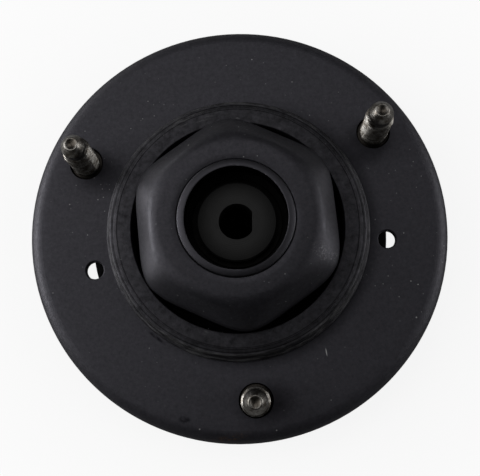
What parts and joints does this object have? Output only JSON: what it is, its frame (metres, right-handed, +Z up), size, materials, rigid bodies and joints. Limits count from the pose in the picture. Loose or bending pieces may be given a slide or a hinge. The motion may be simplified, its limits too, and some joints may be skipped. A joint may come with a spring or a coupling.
{
  "type": "strut mount",
  "caption": "Round upper strut mount: steel flange with press-in studs, beaded rubber cushion, six-sided drawn dome and a sealed ball bearing that lets the strut rod turn.",
  "frame": {"origin": "middle of the stud circle on the flange's top face, the face bolted up under the strut tower", "axes": "+Z up along the strut rod and the studs; -Y towards the single front stud; +X to the right of it"},
  "size_m": [0.153, 0.153, 0.0465],
  "materials": {
    "flange_paint": "satin",
    "stud_steel": "satin",
    "cushion_rubber": "matte",
    "dome_paint": "satin",
    "cup_paint": "satin",
    "retainer_steel": "satin",
    "race_steel": "satin",
    "ball_steel": "polished",
    "seal_rubber": "matte",
    "cage_plastic": "matte",
    "bush_steel": "satin",
    "washer_steel": "matte"
  },
  "bodies": {
    "mount": {"flange_plate": "flange_paint", "mounting_studs": "stud_steel", "rubber_cushion": "cushion_rubber", "hex_dome": "dome_paint", "bearing_cup": "cup_paint", "retainer_ring": "retainer_steel", "bearing_outer_race": "race_steel", "upper_seal": "seal_rubber", "lower_seal": "seal_rubber"},
    "ball_set": {"ball_cage": "cage_plastic", "bearing_ball_1": "ball_steel", "bearing_ball_2": "ball_steel", "bearing_ball_3": "ball_steel", "bearing_ball_4": "ball_steel", "bearing_ball_5": "ball_steel", "bearing_ball_6": "ball_steel", "bearing_ball_7": "ball_steel", "bearing_ball_8": "ball_steel", "bearing_ball_9": "ball_steel"},
    "hub": {"bearing_inner_race": "race_steel", "rod_bush": "bush_steel", "rod_washer": "washer_steel"}
  },
  "joints": [
    {"name": "hub_turn", "type": "hinge", "parent": "mount", "child": "hub", "pos_m": [0, 0, 0.0048], "axis": [0, 0, 1], "continuous": true},
    {"name": "ball_orbit", "type": "hinge", "parent": "mount", "child": "ball_set", "pos_m": [0, 0, 0.0048], "axis": [0, 0, 1], "continuous": true}
  ],
  "couplings": [
    {"joint": "ball_orbit", "follows": "hub_turn", "ratio": 0.39688}
  ]
}
